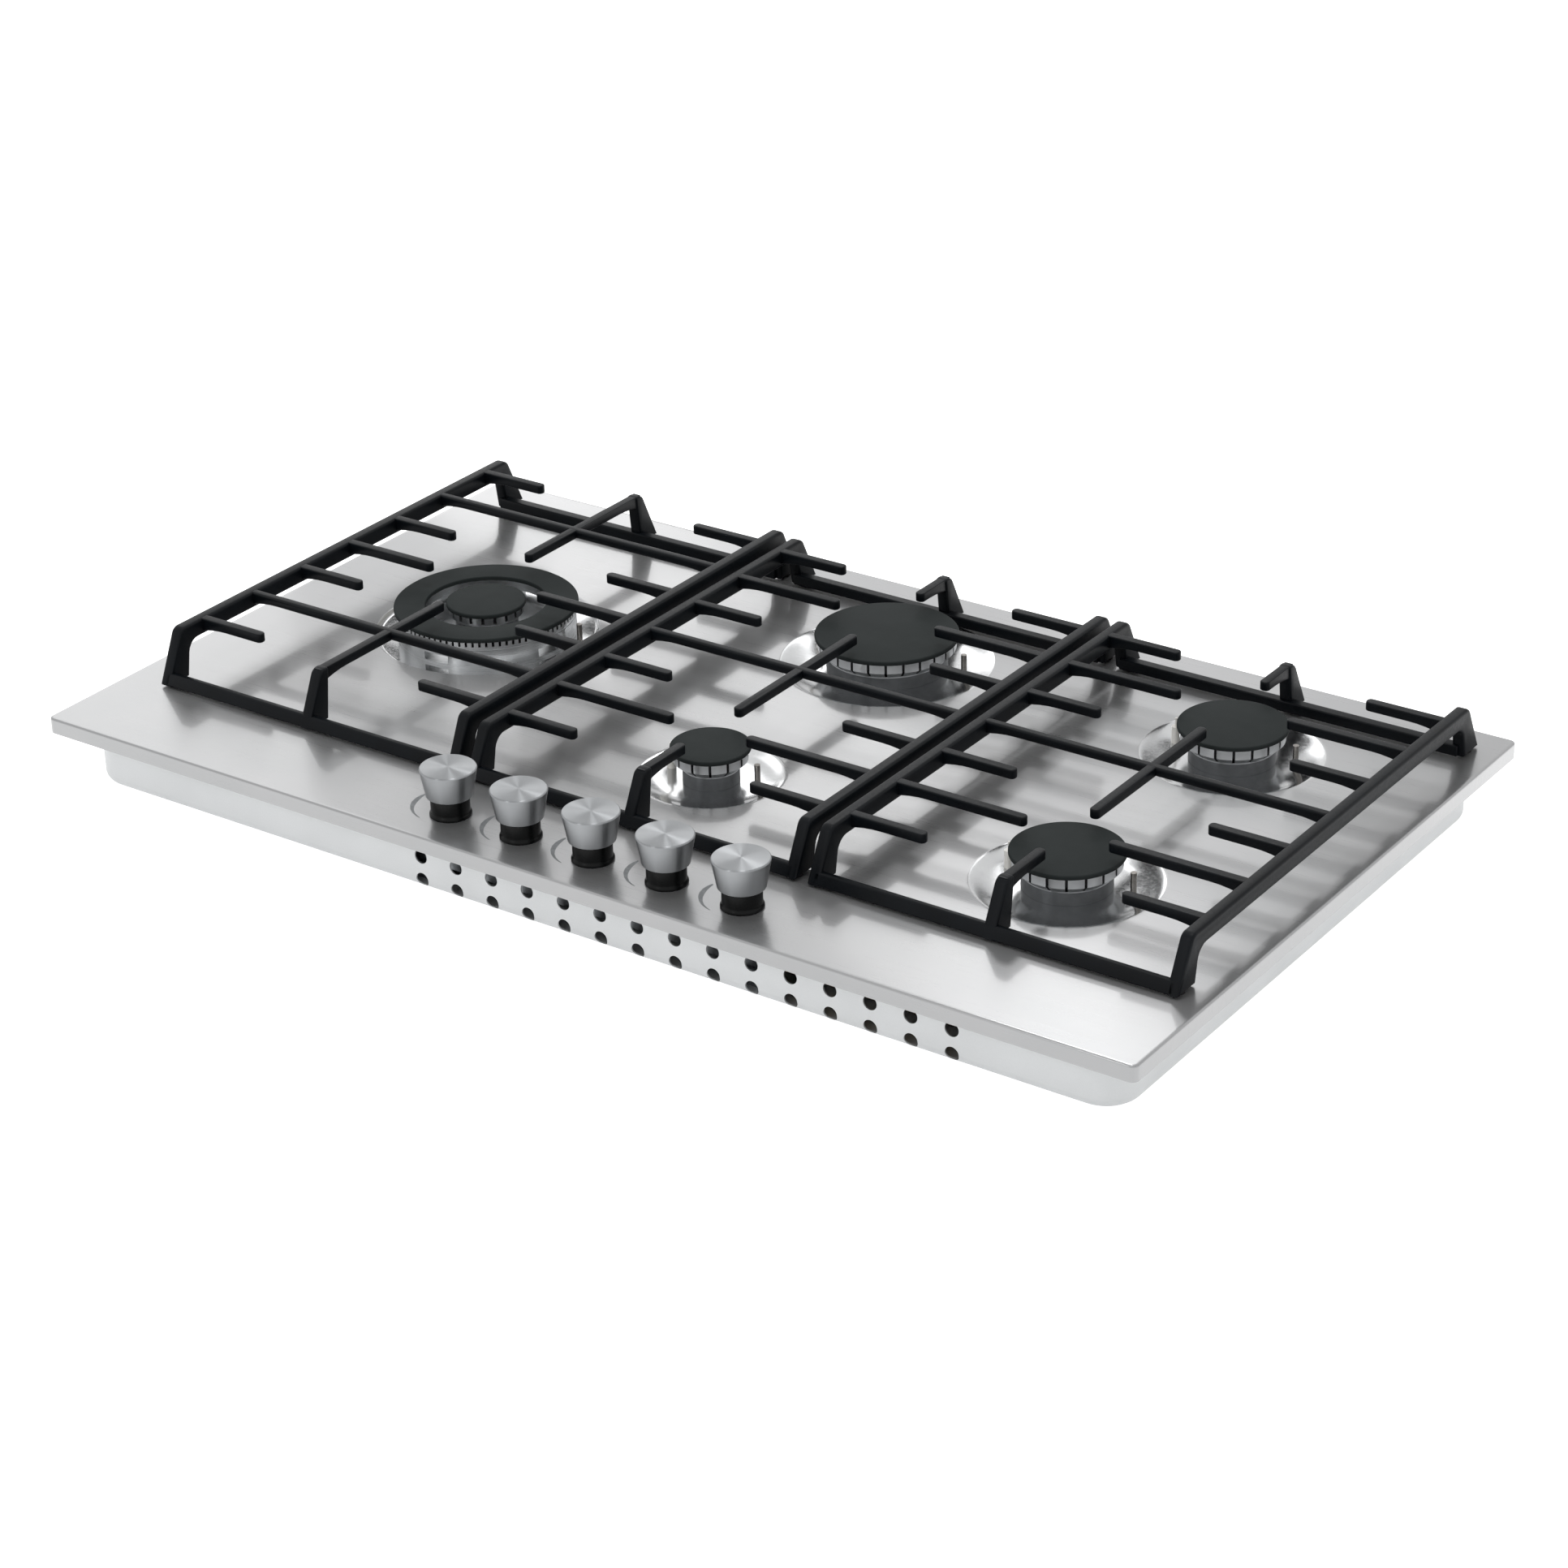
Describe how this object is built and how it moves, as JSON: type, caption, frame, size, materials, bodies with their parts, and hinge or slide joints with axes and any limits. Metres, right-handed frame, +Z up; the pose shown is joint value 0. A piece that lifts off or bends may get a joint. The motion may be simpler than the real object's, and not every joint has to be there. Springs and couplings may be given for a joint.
{
  "type": "gas cooktop",
  "caption": "Built-in gas cooktop: steel plate with pan supports, a wok burner, round burners, front knobs and a tray.",
  "frame": {"origin": "centre of the underside of the bottom tray", "axes": "+X to the right along the front edge, +Y to the rear, +Z up"},
  "size_m": [0.86, 0.5, 0.089],
  "materials": {
    "plate_steel": "fine brushed stainless steel, grain left to right",
    "tray_steel": "pale grey coated sheet steel",
    "gasket_foam": "soft closed-cell sealing foam",
    "collar_plastic": "matt black heat-resistant plastic",
    "rail_steel": "plated steel tube",
    "bracket_steel": "plated steel",
    "tap_brass": "turned brass",
    "burner_alloy": "die-cast burner alloy, satin",
    "electrode_ceramic": "white glazed ceramic with a steel wire",
    "probe_copper": "copper and steel flame sensor",
    "injector_brass": "drilled brass",
    "module_plastic": "pale flame-retardant plastic box",
    "lead_silicone": "silicone-covered spark lead",
    "gland_plastic": "dark grey plastic gland",
    "screw_steel": "zinc-plated steel",
    "tap_alloy": "die-cast alloy",
    "pipe_alloy": "drawn aluminium tube with nuts",
    "cast_iron": "near-black matt enamel on cast iron",
    "foot_rubber": "black heat-resistant rubber",
    "knob_metal": "satin metal, spun top",
    "spindle_steel": "turned steel",
    "cap_enamel": "matt charcoal vitreous enamel on steel"
  },
  "bodies": {
    "cooktop": {"top_plate": "plate_steel", "bottom_tray": "tray_steel", "rim_gasket": "gasket_foam", "knob_collars": "collar_plastic", "gas_manifold": "rail_steel", "manifold_brackets": "bracket_steel", "gas_inlet_pipe": "tap_brass", "wok_cup": "burner_alloy", "rapid_cup": "burner_alloy", "auxiliary_cup": "burner_alloy", "semi_rapid_cups": "burner_alloy", "wok_crown": "burner_alloy", "wok_inner_crown": "burner_alloy", "rapid_crown": "burner_alloy", "auxiliary_crown": "burner_alloy", "semi_rapid_crowns": "burner_alloy", "spark_electrodes": "electrode_ceramic", "thermocouples": "probe_copper", "injectors": "injector_brass", "ignition_module": "module_plastic", "ignition_leads": "lead_silicone", "cable_gland": "gland_plastic", "mounting_screws": "screw_steel", "tap_body_1": "tap_alloy", "tap_body_2": "tap_alloy", "tap_body_3": "tap_alloy", "tap_body_4": "tap_alloy", "tap_body_5": "tap_alloy", "feed_pipe_1": "pipe_alloy", "feed_pipe_2": "pipe_alloy", "feed_pipe_3": "pipe_alloy", "feed_pipe_4": "pipe_alloy", "feed_pipe_5": "pipe_alloy"},
    "pan_support_left": {"grate_left": "cast_iron", "grate_feet_left": "foot_rubber"},
    "pan_support_centre": {"grate_centre": "cast_iron", "grate_feet_centre": "foot_rubber"},
    "pan_support_right": {"grate_right": "cast_iron", "grate_feet_right": "foot_rubber"},
    "plug_1": {"tap_plug_1": "tap_brass"},
    "control_1": {"knob_1": "knob_metal", "spindle_1": "spindle_steel"},
    "plug_2": {"tap_plug_2": "tap_brass"},
    "control_2": {"knob_2": "knob_metal", "spindle_2": "spindle_steel"},
    "plug_3": {"tap_plug_3": "tap_brass"},
    "control_3": {"knob_3": "knob_metal", "spindle_3": "spindle_steel"},
    "plug_4": {"tap_plug_4": "tap_brass"},
    "control_4": {"knob_4": "knob_metal", "spindle_4": "spindle_steel"},
    "plug_5": {"tap_plug_5": "tap_brass"},
    "control_5": {"knob_5": "knob_metal", "spindle_5": "spindle_steel"},
    "wok_ring_cap": {"wok_ring_cap": "cap_enamel"},
    "wok_inner_cap": {"wok_inner_cap": "cap_enamel"},
    "rapid_cap": {"rapid_cap": "cap_enamel"},
    "auxiliary_cap": {"auxiliary_cap": "cap_enamel"},
    "semi_rapid_cap_rear": {"semi_rapid_cap_rear": "cap_enamel"},
    "semi_rapid_cap_front": {"semi_rapid_cap_front": "cap_enamel"}
  },
  "joints": [
    {"name": "pan_support_left_lift", "type": "slide", "parent": "cooktop", "child": "pan_support_left", "axis": [0, 0, 1], "range_m": [0, 0.06]},
    {"name": "pan_support_centre_lift", "type": "slide", "parent": "cooktop", "child": "pan_support_centre", "axis": [0, 0, 1], "range_m": [0, 0.06]},
    {"name": "pan_support_right_lift", "type": "slide", "parent": "cooktop", "child": "pan_support_right", "axis": [0, 0, 1], "range_m": [0, 0.06]},
    {"name": "knob_1_turn", "type": "hinge", "parent": "cooktop", "child": "plug_1", "pos_m": [-0.103, -0.213, 0.04], "axis": [0, 0, 1], "range_deg": [0, 210]},
    {"name": "knob_1_push", "type": "slide", "parent": "plug_1", "child": "control_1", "axis": [0, 0, -1], "range_m": [0, 0.003], "stiffness_N_per_m": 800, "springref_m": -0.003},
    {"name": "knob_2_turn", "type": "hinge", "parent": "cooktop", "child": "plug_2", "pos_m": [-0.045, -0.213, 0.04], "axis": [0, 0, 1], "range_deg": [0, 210]},
    {"name": "knob_2_push", "type": "slide", "parent": "plug_2", "child": "control_2", "axis": [0, 0, -1], "range_m": [0, 0.003], "stiffness_N_per_m": 800, "springref_m": -0.003},
    {"name": "knob_3_turn", "type": "hinge", "parent": "cooktop", "child": "plug_3", "pos_m": [0.013, -0.213, 0.04], "axis": [0, 0, 1], "range_deg": [0, 210]},
    {"name": "knob_3_push", "type": "slide", "parent": "plug_3", "child": "control_3", "axis": [0, 0, -1], "range_m": [0, 0.003], "stiffness_N_per_m": 800, "springref_m": -0.003},
    {"name": "knob_4_turn", "type": "hinge", "parent": "cooktop", "child": "plug_4", "pos_m": [0.071, -0.213, 0.04], "axis": [0, 0, 1], "range_deg": [0, 210]},
    {"name": "knob_4_push", "type": "slide", "parent": "plug_4", "child": "control_4", "axis": [0, 0, -1], "range_m": [0, 0.003], "stiffness_N_per_m": 800, "springref_m": -0.003},
    {"name": "knob_5_turn", "type": "hinge", "parent": "cooktop", "child": "plug_5", "pos_m": [0.129, -0.213, 0.04], "axis": [0, 0, 1], "range_deg": [0, 210]},
    {"name": "knob_5_push", "type": "slide", "parent": "plug_5", "child": "control_5", "axis": [0, 0, -1], "range_m": [0, 0.003], "stiffness_N_per_m": 800, "springref_m": -0.003},
    {"name": "wok_ring_cap_lift", "type": "slide", "parent": "cooktop", "child": "wok_ring_cap", "axis": [0, 0, 1], "range_m": [0, 0.006]},
    {"name": "wok_inner_cap_lift", "type": "slide", "parent": "cooktop", "child": "wok_inner_cap", "axis": [0, 0, 1], "range_m": [0, 0.006]},
    {"name": "rapid_cap_lift", "type": "slide", "parent": "cooktop", "child": "rapid_cap", "axis": [0, 0, 1], "range_m": [0, 0.006]},
    {"name": "auxiliary_cap_lift", "type": "slide", "parent": "cooktop", "child": "auxiliary_cap", "axis": [0, 0, 1], "range_m": [0, 0.006]},
    {"name": "semi_rapid_cap_rear_lift", "type": "slide", "parent": "cooktop", "child": "semi_rapid_cap_rear", "axis": [0, 0, 1], "range_m": [0, 0.006]},
    {"name": "semi_rapid_cap_front_lift", "type": "slide", "parent": "cooktop", "child": "semi_rapid_cap_front", "axis": [0, 0, 1], "range_m": [0, 0.006]}
  ]
}
